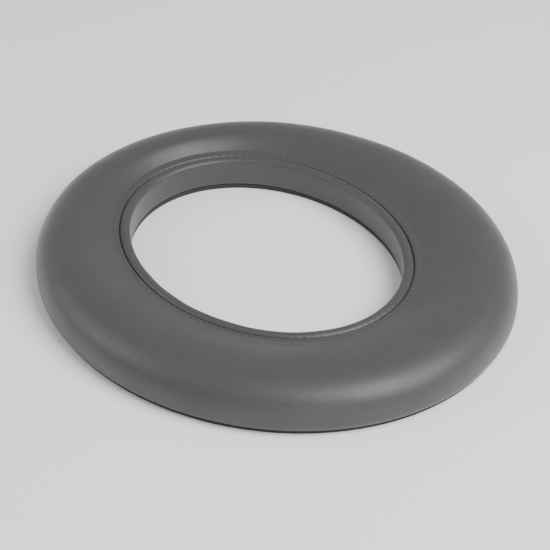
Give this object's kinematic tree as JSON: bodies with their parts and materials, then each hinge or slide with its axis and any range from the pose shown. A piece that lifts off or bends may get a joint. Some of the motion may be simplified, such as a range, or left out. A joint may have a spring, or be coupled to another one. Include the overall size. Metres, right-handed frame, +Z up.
{
  "type": "face cradle cushion",
  "caption": "Oval ring pad with a face opening: crowned, vinyl-covered foam on a plywood base, closed below by a black panel over tee nuts.",
  "frame": {"origin": "centre of the underside, on the plane the pad rests on", "axes": "+Z up out of the padded face, +Y along the ring's long axis towards the support, +X across"},
  "size_m": [0.3, 0.33, 0.031],
  "materials": {
    "vinyl": "satin",
    "thread": "matte",
    "wadding": "matte",
    "foam": "matte",
    "plywood": "matte",
    "zinc": "satin",
    "panel": "matte"
  },
  "bodies": {
    "root": {"top_cover": "vinyl", "opening_band": "vinyl", "topstitch_thread": "thread", "seam_thread": "thread", "wadding": "wadding", "foam_pad": "foam", "baseboard": "plywood", "tee_nuts": "zinc", "outer_hem_staples": "zinc", "inner_hem_staples": "zinc", "base_panel": "panel", "panel_screws": "zinc"}
  },
  "joints": []
}
